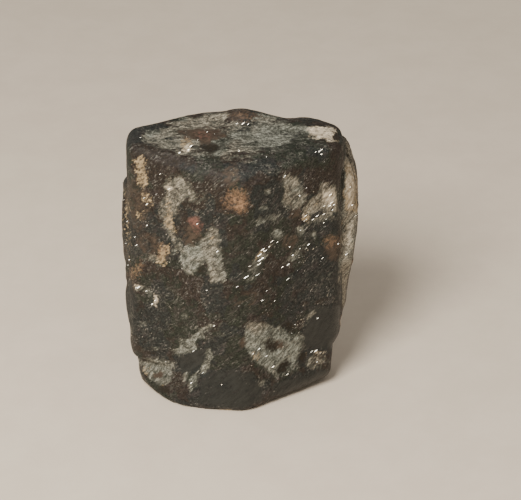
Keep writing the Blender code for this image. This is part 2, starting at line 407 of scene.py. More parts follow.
# %% Silver mica, in pixels
MICA = {
    "boot": (0.56, [(165, 181), (174, 177), (184, 179), (192, 187), (201, 198), (199, 203), (190, 203),
                    (181, 205), (176, 213), (173, 222), (175, 236), (178, 247), (172, 247), (167, 236),
                    (162, 228), (160, 215), (161, 202), (164, 192)]),
    "wedge": (0.78, [(211, 230), (217, 233), (221, 241), (220, 252), (223, 263), (228, 278), (224, 283),
                     (211, 284), (207, 274), (206, 264), (201, 265), (196, 274), (188, 278), (182, 271),
                     (178, 262), (181, 252), (188, 247), (198, 247), (204, 239)]),
    "oval": (0.64, [(281, 177), (288, 175), (297, 176), (302, 184), (305, 194), (305, 203), (298, 210),
                    (287, 211), (281, 204), (284, 193), (280, 184)]),
    "banner": (0.96, [(323, 188), (337, 185), (340, 198), (340, 213), (331, 216), (321, 212), (310, 214),
                      (301, 218), (300, 214), (309, 204), (317, 196)]),
    "fan": (0.64, [(243, 342), (246, 325), (256, 321), (267, 322), (274, 327), (281, 325), (286, 332),
                   (292, 335), (299, 332), (304, 339), (303, 350), (300, 362), (299, 371), (290, 375),
                   (279, 380), (271, 377), (260, 369), (253, 359), (245, 353)]),
    "slant": (0.88, [(174, 352), (180, 345), (188, 339), (196, 334), (201, 329), (211, 326), (207, 332),
                     (203, 334), (206, 341), (198, 338), (195, 343), (194, 350), (186, 355), (179, 357)]),
    "fan_heart": (0.92, 281, 355, 21, 18, -25),
    "low_slant": (0.88, [(209, 350), (212, 359), (208, 366), (203, 375), (198, 378), (196, 386), (191, 391),
                         (188, 387), (190, 380), (197, 374), (203, 367), (206, 360)]),
    "by_the_low_slant": (0.55, 185, 378, 4, 7, -10),
    "heel_end": (0.5, 175, 365, 3, 4),
    "heel": (0.54, [(137, 361), (159, 357), (174, 361), (179, 369), (173, 376), (170, 386), (159, 388),
                    (148, 380), (140, 372)]),
    "heel_left": (0.50, [(133, 356), (140, 358), (142, 374), (152, 388), (147, 389), (137, 378)]),
    "right_foot": (0.52, [(303, 369), (308, 357), (321, 353), (329, 356), (331, 364), (318, 371)]),
    "right_strip": (0.80, [(343, 206), (360, 206), (361, 240), (355, 272), (349, 298), (342, 312),
                           (339, 262)]),
    # The strip's top is mica drawn up into the corner and made lighter: painted light where the lamp leaves
    # it in shade.
    "strip_top_with_painted_light": (0.92, [(344, 139), (349, 142), (355, 152), (360, 168), (362, 205), (345, 205), (344, 182),
                         (346, 160)]),
    "top_left": (0.57, [(139, 144), (147, 134), (180, 121), (212, 112), (230, 115), (222, 142), (232, 160),
                        (205, 161), (182, 158), (160, 150)]),
    "top_middle": (0.46, [(214, 116), (232, 122), (250, 122), (262, 114), (262, 154), (230, 156),
                          (214, 158)]),
    "top_right": (0.60, [(250, 118), (264, 114), (284, 121), (300, 126), (299, 138), (286, 145), (262, 147),
                         (246, 138)]),
    "top_front": (0.20, [(258, 145), (300, 137), (336, 142), (336, 152), (298, 160), (250, 167),
                         (225, 164)]),
    "by_the_wedge": (0.8, 150, 260, 6, 4),
    "low_left": (0.46, 184, 317, 5, 4),
    "left_edge": (0.42, 143, 324, 5, 4),
    "by_the_orange": (0.75, 267, 192, 4, 3),
    "under_the_oval": (0.6, 265, 209, 5, 4),
    "middle_right": (0.75, 260, 222, 4, 3, 45),
    "right_middle": (0.8, 299.5, 231.5, 3, 4),
    "right_of_it": (0.8, 313.5, 235.5, 3, 3.5),
    "haze_above": (0.5, 275, 220, 9, 7),
    "haze_middle": (0.55, 276, 236, 7, 5),
    "haze_slant": (0.55, 262, 257, 22, 4.5, 52),
    "haze_second_slant": (0.45, 292, 259, 14, 3.5, 42),
    "haze_third_slant": (0.4, 306, 248, 8, 3, 55),
    "haze_under_the_banner": (0.5, 320, 221, 20, 5, 12),
    "haze_low": (0.4, 251, 280, 10, 3.5, 42),
    "right_slant": (0.50, 309, 317, 8, 3, 48),
    "ledge_spot": (0.55, 157, 350, 4, 2.5),
    "ledge_end": (0.55, 144, 351, 4, 2.5),
    "white_spot": (0.62, 140, 289, 5, 3),
    "white_drop": (0.62, 154, 302, 3, 5),
    "between_the_drops": (0.62, 147, 295, 6, 3.5, -40),
    "low_front": (0.6, 262, 384, 3.5, 4),
    "left_speckle": (0.22, 160, 300, 26, 14),
    "left_flank": (0.34, [(126, 302), (132, 305), (135, 330), (134, 347), (130, 344), (128, 322)]),
    "left_low_speckle": (0.18, 172, 330, 36, 14),
    "boot_haze": (0.12, 200, 177, 22, 8),
    "boot_toe": (0.58, 190, 199, 11, 5.5, -22),
    "boot_calf": (0.34, 173, 214, 6, 10, 10),
    "over_the_orange": (0.34, 234, 178, 7, 9),
    "leg_foot": (0.56, 177, 249, 4.5, 8, -20),
    "oval_haze": (0.24, 285, 170, 26, 8),
    "lens_left": (0.72, 306, 131, 12, 5, -12),
}
print(len(MICA), "patches of mica")

# %% [markdown]
# Weathering stains some of the mica tan and cream, and garnets turn from pink to orange and rust brown.
# Some cream and tan spots are painted glints, and on the right strip cream and tan paint light over the
# mica. The flat dark facets are clean staurolite faces, and the small dark spots are holes where a grain
# fell out. The same dark paints shade in the groove beside the right strip, under the top's front edge and
# under the left ledge. Where the staurolite is not brown it is greenish or slate grey, in wide soft clouds.

# %% Tan and cream, in pixels
TAN = {
    "streak": (0.66, [(135, 156), (143, 156), (148, 170), (150, 184), (146, 191), (138, 187), (134, 170)]),
    "under_the_streak": (0.52, [(141, 189), (148, 192), (154, 204), (150, 209), (142, 201)]),
    "left_strip": (0.38, [(121, 190), (127, 186), (131, 205), (133, 236), (130, 262), (125, 245),
                          (122, 215)]),
    "left_shoulder": (0.42, 140, 216, 5, 9),
    "left_patch": (0.60, [(157, 264), (156, 253), (163, 244), (172, 243), (171, 250), (167, 258),
                          (163, 267)]),
    "curl": (0.34, [(130, 282), (131, 270), (138, 262), (145, 260), (144, 266), (137, 274), (134, 283)]),
    # The tan on the right strip is partly its own colour and partly painted light over its shade.
    "right_strip": (0.62, [(346, 166), (354, 164), (359, 176), (361, 190), (360, 214), (345, 214),
                           (344, 196), (345, 180)]),
    "foot_glint": (0.8, [(309, 356), (315, 352), (323, 352), (318, 357)]),
    "under_the_banner": (0.95, 305, 220, 4.5, 4),
    "banner_edge": (0.34, 309, 211, 11, 4.5, 40),
    "heel_edge": (0.34, 158, 387, 6, 2.5),
    "heel_left": (0.36, 147, 372, 6, 8),
    "above_the_orange": (0.26, 234, 180, 4, 8),
    "boot_leg": (0.6, 170, 224, 5, 14, 10),
    "boot_side": (0.42, 168, 201, 4, 15, 5),
    "wedge_top": (0.40, 212, 240, 4, 9, 25),
    "fan_left": (0.36, 256, 355, 6, 7),
    "gold_slant": (0.6, 265, 250, 9, 2.5, 48),
    "top_left": (0.5, 187, 144, 7, 6),
    # lens_foot is a painted highlight: a pale yellow streak along the lower edge of the cream lens.
    "lens_foot": (0.75, 325, 139, 8, 2.5, -12),
}
CREAM = {
    "lens": (0.82, [(307, 129), (318, 127), (328, 128), (335, 132), (336, 139), (331, 143), (320, 141),
                    (310, 137)]),
    # top_glint, second_top_glint and boot_glint are painted highlights: pale spots where mica flashes.
    "top_glint": (0.9, 188, 148, 3, 2.5),
    "second_top_glint": (0.5, 179, 155, 2, 2),
    "white_spot": (1.0, 138, 287.5, 2.4, 1.6),
    "white_drop": (1.0, 155, 303, 1.4, 3.4),
    "boot_glint": (0.8, 169, 190, 3, 3),
    "banner_tip": (1.0, 304, 216, 3, 3),
    "banner": (0.80, 331, 199, 7, 12),
    # The cream on the strip's top is painted light over its shade, on real pale mica.
    "strip_top_with_painted_light": (0.62, 351, 186, 5.5, 26),
    "strip_foot": (0.42, 349, 236, 6, 26),
    "foot": (0.62, 317, 354.5, 7, 3, 5),
}
print(len(TAN), "tan patches and", len(CREAM), "cream ones")

# %% Garnet, in pixels
ORANGE = {
    "round_garnet": (0.58, 236, 201, 13, 12),
    "round_garnet_low": (0.92, 239, 207, 6, 6),
    "top_back": (0.40, 243, 118, 13, 5),
    "right": (0.55, 332, 242, 8, 7),
    "left": (0.45, 163, 252, 8, 8),
    "curl": (0.46, 136, 271, 5, 11, -28),
}
GARNET = {
    "pink": (0.74, 194.5, 221, 5, 5),
    "pink_tail": (0.58, 198, 228.5, 4.5, 6),
    "top": (0.36, 204, 136, 11, 4),
    "small_right": (0.32, 300, 213, 4, 4),
    "second_top": (0.4, 190, 140, 4, 3),
}
RUST = {
    "under_the_pink": (0.62, 192, 236, 10, 12),
    "top_halo": (0.85, 204, 136, 22, 7),
    "oval_foot": (0.8, 296, 216, 8, 5),
    "fan_edge": (0.7, 242, 344, 4, 7),
    "top_back": (0.7, 243, 117, 17, 6),
    "heel_stone": (0.75, 159, 377, 4.5, 4.5),
    "right_edge": (0.7, 333, 250, 9, 15),
    "fan_grain": (0.72, 279, 347, 9, 6),
    "left_edge": (0.5, 137, 205, 12, 34),
    "left_mark": (0.5, 150, 245, 14, 12),
    "above_the_orange": (0.55, 232, 178, 10, 12),
    "middle": (0.35, 245, 300, 26, 9),
    "middle_low": (0.25, 190, 300, 24, 8),
    "by_the_slant": (0.55, 291, 244, 9, 9),
    "foot_right": (0.35, 317, 357, 12, 5),
}
print(len(ORANGE) + len(GARNET), "spots of garnet and", len(RUST), "of rust")

# %% Facets, holes, painted shade and clouds, in pixels
FACET = {
    "right": (1.0, [(311, 309), (339, 307), (341, 345), (335, 350), (318, 349), (306, 349), (305, 338),
                    (309, 325)]),
    "low": (0.64, [(199, 388), (207, 374), (215, 371), (250, 372), (263, 386), (263, 406), (230, 411),
                   (200, 407)]),
    "blue": (0.9, [(181, 359), (195, 354), (203, 353), (204, 361), (196, 368), (188, 374), (181, 371)]),
    "corner": (0.4, [(127, 134), (141, 131), (149, 135), (147, 142), (142, 153), (127, 154)]),
    "low_right": (0.7, [(272, 384), (300, 377), (331, 366), (331, 375), (300, 391), (270, 400)]),
}
# Most of these are real pits where a grain fell out. Four are painted shade: the dark line in the groove
# beside the right strip, two bands under the top's front edge and a line under the left ledge.
HOLES_AND_SHADE = {
    "top": (1.0, 211, 150, 12, 5),
    "under_the_top": (1.0, 214, 157, 9, 3),
    "lens": (1.0, 334.5, 137, 4.5, 4),
    "fan": (0.9, 273, 348, 6.5, 8.5, 15),
    "fan_low": (0.9, 285, 369, 9, 4, 38),
    "fan_top": (0.9, 290, 329, 8, 4, -30),
    "fan_right": (0.9, 303, 361, 3.5, 8, -20),
    "heel": (0.5, 160, 378, 2.5, 2.5),
    "heel_low": (0.8, 162, 391, 7, 3.5),
    "groove": (0.5, 341, 198, 2.0, 13, -8),
    "wedge_notch": (0.8, 202, 273, 4, 5, 30),
    "wedge_low": (0.5, 190, 279, 4, 2.5, 20),
    "edge_under_the_top": (0.6, 168, 160, 14, 3.5, -18),
    "edge_to_the_middle": (0.35, 205, 168, 26, 4, -7),
    "ledge_left": (0.7, 150, 355.5, 16, 2.5),
    "lens_rim": (0.8, 312, 123, 16, 2.5, -8),
}
GREEN = {
    "top_left": (0.35, 180, 142, 34, 12),
    "top_right": (0.9, 285, 138, 46, 16),
    "front_top": (0.8, 300, 160, 38, 12),
    "middle": (0.9, 268, 226, 26, 20),
    "under_the_orange": (0.7, 240, 262, 26, 28),
    "low_middle": (0.8, 222, 348, 26, 20),
    "fan": (1.0, 280, 352, 28, 28),
    "slants": (0.8, 192, 350, 22, 24),
    "low_left": (0.7, 168, 318, 38, 24),
    "middle_left": (0.6, 160, 285, 24, 16),
    "low": (0.6, 250, 388, 26, 16),
    "right": (0.7, 312, 250, 26, 30),
    "middle_right": (0.6, 270, 305, 30, 14),
    "boot": (0.1, 190, 185, 16, 14),
    "heel": (0.7, 158, 372, 20, 14),
    "wedge": (0.5, 196, 264, 18, 16),
}
SLATE = {
    "right": (0.9, 322, 272, 22, 28),
    "right_facet": (1.0, 322, 330, 22, 26),
    "low": (1.0, 226, 392, 36, 22),
    "low_right": (0.8, 300, 384, 36, 12, 20),
    "slants": (0.9, 190, 362, 18, 12),
    "left_ledge": (0.6, 150, 342, 22, 12),
    "banner": (0.7, 318, 232, 22, 10),
}
print(len(FACET), "facets,", len(HOLES_AND_SHADE), "holes and", len(GREEN) + len(SLATE), "clouds")

# %% Amounts over the front
ORANGE_SOFTNESS = 10.0
RUST_SOFTNESS = 5.0
FACET_SOFTNESS = 5.5
CLOUD_SOFTNESS = 9.0
HOLE_AND_SHADE_SHARE = 0.75

amounts = {
    "mica": painted(MICA),
    "tan": painted(TAN),
    "cream": painted(CREAM),
    "orange": painted(ORANGE, ORANGE_SOFTNESS),
    "garnet": painted(GARNET),
    "rust": painted(RUST, RUST_SOFTNESS),
    "facet": painted(FACET, FACET_SOFTNESS),
    # Real holes, and the painted shade in the groove and under the edges
    "hole_and_shade": HOLE_AND_SHADE_SHARE * painted(HOLES_AND_SHADE),
    "green": painted(GREEN, CLOUD_SOFTNESS),
    "slate": painted(SLATE, CLOUD_SOFTNESS),
}
for name, amount in amounts.items():
    print(name, "averages", amount[front].mean().round(3), "over the front")

# %% [markdown]
# The sides and the back get the same minerals from random fields. Garnets and holes sit at the places that
# the solid has them, so that a lump is also a garnet.

# %% The sides and the back
BACK_GARNETS = {
    "arm": ((-6.4, 7.6, 23.2), 1.5),
    "lower_arm": ((5.2, 8.0, 14.6), 1.2),
    "back": ((-2.4, 6.2, 5.4), 1.4),
    "left_end": ((-12.6, 4.6, 17.4), 1.1),
    "right_end": ((14.0, 5.6, 20.6), 1.2),
}
BACK_HOLES = {
    "arm": ((2.2, 7.4, 24.2), 1.0),
    "arm_edge": ((-9.4, 9.0, 18.4), 0.9),
    "back": ((5.0, 5.2, 30.0), 0.9),
    "low_back": ((4.4, 5.6, 3.4), 0.8),
}
# Random minerals as (length in millimetres, seed, level where they start, level where they are full,
# amount)
HIDDEN = {
    "mica": (3.6, 21, 0.14, 0.44, 0.82),
    "tan": (2.8, 31, 0.45, 0.90, 0.74),
    "cream": (1.9, 41, 0.85, 1.25, 0.80),
    "orange": (2.2, 51, 0.75, 1.20, 0.70),
    "rust": (2.6, 61, 0.35, 0.85, 0.80),
    "facet": (4.4, 71, 0.45, 0.60, 0.90),
    "green": (4.0, 72, -0.20, 0.50, 0.90),
    "slate": (5.0, 73, 0.10, 0.60, 0.90),
}
HIDDEN_STRETCH = 1.5
HIDDEN_GARNET = 0.7
BALL_SOFTNESS = 0.35


def inside_ball(points, places):
    """Amount inside the nearest of several balls, eased across their surfaces."""
    depths = [radius - np.linalg.norm(points - np.array(middle), axis=1)
              for middle, radius in places.values()]
    return ease(np.max(depths, axis=0) + ragged / PIXELS_PER_MM, -BALL_SOFTNESS, BALL_SOFTNESS)


hidden = {name: full * ease(layered(drawn_out(skin, HIDDEN_STRETCH), length, seed), start, end)
          for name, (length, seed, start, end, full) in HIDDEN.items()}
hidden["garnet"] = HIDDEN_GARNET * inside_ball(skin, BACK_GARNETS)
hidden["hole_and_shade"] = inside_ball(skin, BACK_HOLES)
masks = {name: facing * amount + (1 - facing) * hidden[name] for name, amount in amounts.items()}
print("minerals:", ", ".join(masks))

# %% [markdown]
# The fields are still too even, so the whole stone gets three finer touches. The mica thins and thickens in
# slow drifts and, on the top, in narrow bands that run left to right. Single flecks of it lie all over the
# rock. Clouds of green and slate grey lie under everything.

# %% Drifts, bands, flecks and clouds
# Fields drawn out along the grain, as (stretch, length in millimetres, seed), and how much they change
DRIFTS = (1.8, 2.4, 33)
DRIFT_CHANGE = 0.22
FLECK_DRIFTS = (2.5, 2.2, 22)
FLECKS = 0.13
FLECK_CHANGE = 0.10
CLEAN_FACET = 0.9
# Bands on the top, where the outward direction's Z is past the slopes and mica is past its least amount
BAND_STRETCH = np.array((1 / 3.0, 1.0, 1.0))
BAND_LENGTH = 0.5
BAND_SEED = 91
BAND_CHANGE = 0.22
TOP_SLOPES = (0.55, 0.85)
LEAST_MICA = 0.1
# Amounts between which mica closes up
CLOSING = (0.25, 0.6)
# Clouds in the staurolite as (length in millimetres, seed, amount)
CLOUDS = {"green": (2.4, 74, 0.85), "slate": (2.9, 75, 0.80)}
CLOUD_LEVELS = (-0.05, 0.55)


def drawn_field(stretch, length, seed):
    """A layered random field over the skin, drawn out along the rock's grain."""
    return layered(drawn_out(skin, stretch), length, seed)


flecks = FLECKS + FLECK_CHANGE * drawn_field(*FLECK_DRIFTS)
mica = np.clip(masks["mica"] * (1 + DRIFT_CHANGE * drawn_field(*DRIFTS)), 0, 1)
on_top = ease(outward[:, 2], *TOP_SLOPES)
bands = layered(skin * BAND_STRETCH, BAND_LENGTH, BAND_SEED)
mica = np.clip(mica + BAND_CHANGE * on_top * bands * (mica > LEAST_MICA), 0, 1)
masks["facet"] = masks["facet"] * (1 - ease(mica, *CLOSING))
masks["mica"] = np.maximum(mica, flecks * (1 - CLEAN_FACET * masks["facet"])) * (1 - masks["hole_and_shade"])
for name, (length, seed, full) in CLOUDS.items():
    masks[name] = np.maximum(masks[name], full * ease(layered(skin, length, seed), *CLOUD_LEVELS))
print("mica averages", masks["mica"].mean().round(3), "over the whole stone")

# %% [markdown]
# ## Relief
#
# The worn faces are not quite flat. Slow swells and finer grain move each point along its own outward
# direction. Mica wears back further than staurolite and shows its fibres, garnets stand a little proud, and
# holes sink in. This is real geometry, because bump in a material vanishes at the outline.

# %% Raise and sink the skin
# Swells as (height, length, seed), in millimetres
SLOW_SWELL = (0.14, 5.5, 5)
FINE_SWELLS = ((0.08, 2.1, 11), (0.045, 0.9, 12))
FACET_CALM = 0.8
MICA_DEPTH = 0.09
GARNET_RISE = 0.16
ORANGE_RISE = 0.14
HOLE_DEPTH = 0.36
FIBRE_HEIGHT = 0.035
FIBRE_LENGTH = 0.42
FIBRE_SEED = 13
FIBRES_ANYWHERE = 0.5
BASE_DEPTH = 0.05

calm = 1 - FACET_CALM * masks["facet"]
relief = SLOW_SWELL[0] * uneven(skin, *SLOW_SWELL[1:])
for height, length, seed in FINE_SWELLS:
    relief = relief + calm * height * uneven(skin, length, seed)
fibres = uneven(drawn_out(skin, FABRIC_STRETCH), FIBRE_LENGTH, FIBRE_SEED)
relief = relief + FIBRE_HEIGHT * calm * (FIBRES_ANYWHERE + masks["mica"]) * fibres
relief = relief - MICA_DEPTH * ease(masks["mica"], *CLOSING)
relief = relief + GARNET_RISE * masks["garnet"] + ORANGE_RISE * masks["orange"] - HOLE_DEPTH * masks["hole_and_shade"]
points = skin + outward * relief[:, None]
points[:, 2] = np.clip(points[:, 2] - points[:, 2].min(), 0, None)
points[skin[:, 2] < BASE_DEPTH, 2] = 0.0

cad_middle = (np.array(cad_low) + np.array(cad_high)) / 2 / MM
own_middle = (points.min(axis=0) + points.max(axis=0)) / 2
shift = np.array((cad_middle[0] - own_middle[0], cad_middle[1] - own_middle[1], 0.0))
print("the relief runs from", relief.min().round(2), "to", relief.max().round(2), "mm, shift", shift.round(2))

# %% [markdown]
# The arrays become a mesh in one step, and each mineral's amounts go with it as an attribute that a
# material can read. The skin replaces the plain solid and rides on the same body. A shift puts the middle
# of its box where the solid's is.

# %% The skin as a mesh


def make_mesh(name, vertices, faces, values=None, material=None, smooth=True):
    """An object at the origin, from points in millimetres, faces as rows of numbers, and values at points."""
    mesh = bpy.data.meshes.new(name)
    mesh.from_pydata((vertices * MM).tolist(), [], faces.tolist())
    for label, value in (values or {}).items():
        attribute = mesh.attributes.new(label, "FLOAT", "POINT")
        attribute.data.foreach_set("value", value.astype(np.float32))
    if smooth:
        mesh.shade_smooth()
    mesh.update()
    made = bpy.data.objects.new(name, mesh)
    bpy.context.scene.collection.objects.link(made)
    if material:
        mesh.materials.append(material)
    return made


staurolite = make_mesh("staurolite_twin", points + shift, grid_faces, masks)
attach(staurolite, "root")
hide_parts(NODE)
print("made", staurolite.name)

# %% [markdown]
# ## Helpers for materials
#
# A material is a graph of nodes. A few short helpers keep it readable: one adds a node and sets or links
# its inputs, and the others mix two colours by a mask, stretch a value and do arithmetic.

# %% Node helpers


def add(tree, kind, inputs=None, **settings):
    """Add a node, set its properties, and fill its inputs with numbers or with the outputs of other nodes."""
    made = tree.nodes.new(kind)
    for name, value in settings.items():
        setattr(made, name, value)
    for name, value in (inputs or {}).items():
        if isinstance(value, bpy.types.NodeSocket):
            tree.links.new(value, made.inputs[name])
        else:
            made.inputs[name].default_value = value
    return made


def opaque(colour):
    """A plain colour with its alpha, and any other colour as it is."""
    return (*colour, 1.0) if isinstance(colour, tuple) else colour


def mix(tree, mask, first, second, way="MIX"):
    """Colour that goes from the first to the second as the mask goes from 0 to 1."""
    # A Mix node has its colours at inputs 6 and 7 and at output 2. Its plain numbers are at inputs 2 and 3
    # and at output 0.
    inputs = {0: mask, 6: opaque(first), 7: opaque(second)}
    return add(tree, "ShaderNodeMix", inputs, data_type="RGBA", blend_type=way).outputs[2]


def spread(tree, value, low, high, to_low=0.0, to_high=1.0):
    """A value stretched so that low becomes to_low and high becomes to_high, and cut off beyond."""
    made = add(tree, "ShaderNodeMapRange", {"Value": value, "From Min": low, "From Max": high,
                                            "To Min": to_low, "To Max": to_high})
    return made.outputs["Result"]


def calculate(tree, way, *values):
    """One arithmetic step."""
    return add(tree, "ShaderNodeMath", dict(enumerate(values)), operation=way).outputs[0]


def shaded(tree, colour, noise, darkest, lightest):
    """A colour times a shade, which goes from darkest to lightest as the noise goes from 0 to 1."""
    shade = spread(tree, noise, 0.0, 1.0, darkest, lightest)
    grey = add(tree, "ShaderNodeCombineColor", {"Red": shade, "Green": shade, "Blue": shade}).outputs[0]
    return mix(tree, 1.0, colour, grey, "MULTIPLY")


def new_material(name):
    """A material with its node tree, its shader and the Object coordinates in it."""
    material = bpy.data.materials.new(name)
    material.use_nodes = True
    tree = material.node_tree
    place = add(tree, "ShaderNodeTexCoord").outputs["Object"]
    return material, tree, tree.nodes["Principled BSDF"], place


# %% [markdown]
# Every material here has some mottling, so it is one node group. It takes a place, a grain size in
# millimetres and the two levels between which the noise is stretched, and it puts out a mask.

# %% The mottle group
NOISE_DETAIL = 5.0
NOISE_ROUGHNESS = 0.68
LOW = 0.4
HIGH = 0.6


def make_mottle():
    """Noise of a given grain size, stretched between two levels."""
    group = bpy.data.node_groups.new("mottle", "ShaderNodeTree")
    sockets = (("Place", "NodeSocketVector", None), ("Size", "NodeSocketFloat", 1.0),
               ("Low", "NodeSocketFloat", LOW), ("High", "NodeSocketFloat", HIGH))
    for name, kind, value in sockets:
        socket = group.interface.new_socket(name, in_out="INPUT", socket_type=kind)
        if value is not None:
            socket.default_value = value
    group.interface.new_socket("Mask", in_out="OUTPUT", socket_type="NodeSocketFloat")
    enter = group.nodes.new("NodeGroupInput")
    leave = group.nodes.new("NodeGroupOutput")
    scale = calculate(group, "DIVIDE", 1 / MM, enter.outputs["Size"])
    noise = add(group, "ShaderNodeTexNoise", {"Vector": enter.outputs["Place"], "Scale": scale,
                                              "Detail": NOISE_DETAIL, "Roughness": NOISE_ROUGHNESS})
    mask = spread(group, noise.outputs["Fac"], enter.outputs["Low"], enter.outputs["High"])
    group.links.new(mask, leave.inputs["Mask"])
    return group


MOTTLE = make_mottle()


def mottle(tree, place, size, low=LOW, high=HIGH):
    """A mottle mask in a material."""
    made = add(tree, "ShaderNodeGroup", node_tree=MOTTLE)
    tree.links.new(place, made.inputs["Place"])
    for name, value in (("Size", size), ("Low", low), ("High", high)):
        made.inputs[name].default_value = value
    return made.outputs["Mask"]


print("made the mottle group")

# %% [markdown]
# ## The stone's material
#
# The base is dark brown staurolite, clouded with green and slate grey. Each mineral is a layer over it.
# Where a layer shows is decided grain by grain: a fibrous noise is compared with the amount in the mesh
# attribute. A low amount lets only the highest grains through, and a high one closes them to a patch with
# ragged edges. Inside a layer two colours alternate along the rock's grain, which rises to the right.

# %% Grains


def along_grain(tree, place):
    """Object coordinates turned so that X follows the rock's grain, and shortened along it."""
    turned = add(tree, "ShaderNodeMapping", {
        "Vector": place, "Rotation": (0.0, np.radians(FABRIC_RISE), 0.0)}, vector_type="POINT")
    shortened = add(tree, "ShaderNodeMapping", {
        "Vector": turned.outputs[0], "Scale": (1 / FABRIC_STRETCH, 1.0, 1.0)}, vector_type="POINT")
    return shortened.outputs[0]


def grains_above(tree, grain, amount, edge):
    """Where a mineral shows: grain plus amount, above one, over an edge. None shows at 0, and all at 1."""
    return spread(tree, calculate(tree, "MULTIPLY_ADD", amount, 1 + edge, grain), 1, 1 + edge)


# %% [markdown]
# The base rock is nearly black to a camera, so its life is in small things: clouds, a purple cast in
# places, a fine light and dark grain, a green haze where mica is near, and thin pale streaks that crowd
# together.

# %% The base rock
# Each noise is (grain in millimetres, level that gives 0, level that gives 1)
BROWN = (0.0222, 0.0164, 0.0122)
CLOUD_NOISE = (1.1, 0.3, 0.7)
CLOUD_EDGE = 0.35
GREENISH = (0.0160, 0.0200, 0.0136)
SLATE_GREY = (0.0155, 0.0182, 0.0170)
PURPLE_NOISE = (0.6, 0.50, 0.66)
PURPLE_SHARE = 0.6
PURPLISH = (0.044, 0.034, 0.033)
BASE_NOISE = (0.24, 0.34, 0.68)
BASE_SHADES = (0.15, 1.9)
HAZE_NOISE = (0.30, 0.30, 0.70)
HAZE_MORE = 0.10
HAZE_EDGE = 0.30
HAZE_GREEN = (0.060, 0.062, 0.050)
# Thin streaks as (width in millimetres, level where they start, level where they are full, colour)
SPECKS = (
    (0.18, 0.51, 0.65, (0.096, 0.093, 0.081)),
    (0.26, 0.54, 0.66, (0.066, 0.054, 0.052)),
    (0.18, 0.58, 0.66, (0.240, 0.228, 0.205)),
)
CROWDING = 7.0
CROWD_LEVELS = (0.47, 0.63)


def base_rock(tree, place, fibres, amount):
    """Staurolite in clouds, with its grain, its haze and its streaks laid over them in turn."""
    cloud = mottle(tree, place, *CLOUD_NOISE)
    colour = mix(tree, grains_above(tree, cloud, amount["green"], CLOUD_EDGE), BROWN, GREENISH)
    colour = mix(tree, grains_above(tree, cloud, amount["slate"], CLOUD_EDGE), colour, SLATE_GREY)
    purple = calculate(tree, "MULTIPLY", mottle(tree, fibres, *PURPLE_NOISE), PURPLE_SHARE)
    colour = mix(tree, purple, colour, PURPLISH)
    colour = shaded(tree, colour, mottle(tree, place, *BASE_NOISE), *BASE_SHADES)
    near_mica = calculate(tree, "ADD", amount["mica"], HAZE_MORE)
    haze = grains_above(tree, mottle(tree, fibres, *HAZE_NOISE), near_mica, HAZE_EDGE)
    colour = mix(tree, haze, colour, HAZE_GREEN)
    for size, start, full, tint in SPECKS:
        crowd = mottle(tree, fibres, size * CROWDING, *CROWD_LEVELS)
        specks = calculate(tree, "MULTIPLY", crowd, mottle(tree, fibres, size, start, full))
        colour = mix(tree, specks, colour, tint)
    return colour


# %% [markdown]
# Mica is bright and dark side by side, because each scale lies at its own angle to the light: this is
# painted light and shade in the mica's colour. It is warm on brown rock and cool on green. A finer grain
# than the fibres paints glints over it.

# %% Silver mica, with painted light, shade and glints
# Each pair is a painted shaded scale and a painted lit one
WARM_MICA = ((0.044, 0.039, 0.030), (0.318, 0.290, 0.230))
COOL_MICA = ((0.036, 0.040, 0.032), (0.266, 0.278, 0.240))
SCALE_NOISE = (0.31, 0.38, 0.62)
# The glint grain is a painted highlight over the scales
GLINT_NOISE = (0.15, 0.36, 0.66)
GLINT_SHADES = (0.40, 1.9)
MICA_NOISE = (0.28, 0.30, 0.70)
MICA_EDGE = 0.40


def silver_mica(tree, place, fibres, amount):
    """Painted lit and shaded scales along the grain, warm or cool, times a finer painted glint."""
    bright = mottle(tree, fibres, *SCALE_NOISE)
    scales = mix(tree, amount["green"], mix(tree, bright, *WARM_MICA), mix(tree, bright, *COOL_MICA))
    return shaded(tree, scales, mottle(tree, place, *GLINT_NOISE), *GLINT_SHADES)


# %% [markdown]
# The other minerals differ only in their two colours, their grain, how soft a grain's edge is and how rough
# they are, so they are rows of a table. A later row lies over an earlier one.

# %% The other minerals
# Each layer as (dark, light, grain in millimetres, softness of its grains' edges, roughness)
LAYERS = {
    "facet": ((0.0115, 0.0125, 0.0115), (0.0290, 0.0308, 0.0278), 0.50, 0.60, 0.42),
    "rust": ((0.018, 0.012, 0.008), (0.080, 0.058, 0.042), 0.40, 0.60, 0.55),
    "tan": ((0.040, 0.028, 0.015), (0.500, 0.380, 0.225), 0.27, 0.40, 0.50),
    "orange": ((0.045, 0.026, 0.015), (0.360, 0.220, 0.130), 0.34, 1.10, 0.50),
    "garnet": ((0.034, 0.017, 0.013), (0.225, 0.112, 0.086), 0.40, 0.90, 0.42),
    "cream": ((0.130, 0.102, 0.070), (0.860, 0.750, 0.570), 0.30, 0.70, 0.46),
    # The hole layer's dark is real pits and also painted shade in the groove and under the edges
    "hole_and_shade": ((0.007, 0.006, 0.004), (0.026, 0.021, 0.014), 0.40, 0.50, 0.80),
}
# These don't follow the grain of the rock
ROUND_GRAINS = ("orange", "garnet", "hole_and_shade")
LAYER_LEVELS = (0.28, 0.72)
INNER_LEVELS = (0.1, 0.8)


def mineral_layers(tree, place, fibres, amount, colour, rough):
    """Colour and roughness with each mineral laid over what is under it."""
    for name, (dark, light, size, edge, roughness) in LAYERS.items():
        grain = mottle(tree, place if name in ROUND_GRAINS else fibres, size, *LAYER_LEVELS)
        shown = grains_above(tree, grain, amount[name], edge)
        inner = mix(tree, spread(tree, grain, *INNER_LEVELS), dark, light)
        colour = mix(tree, shown, colour, inner)
        rough = add(tree, "ShaderNodeMix", {0: shown, 2: rough, 3: roughness}, data_type="FLOAT").outputs[0]
    return colour, rough


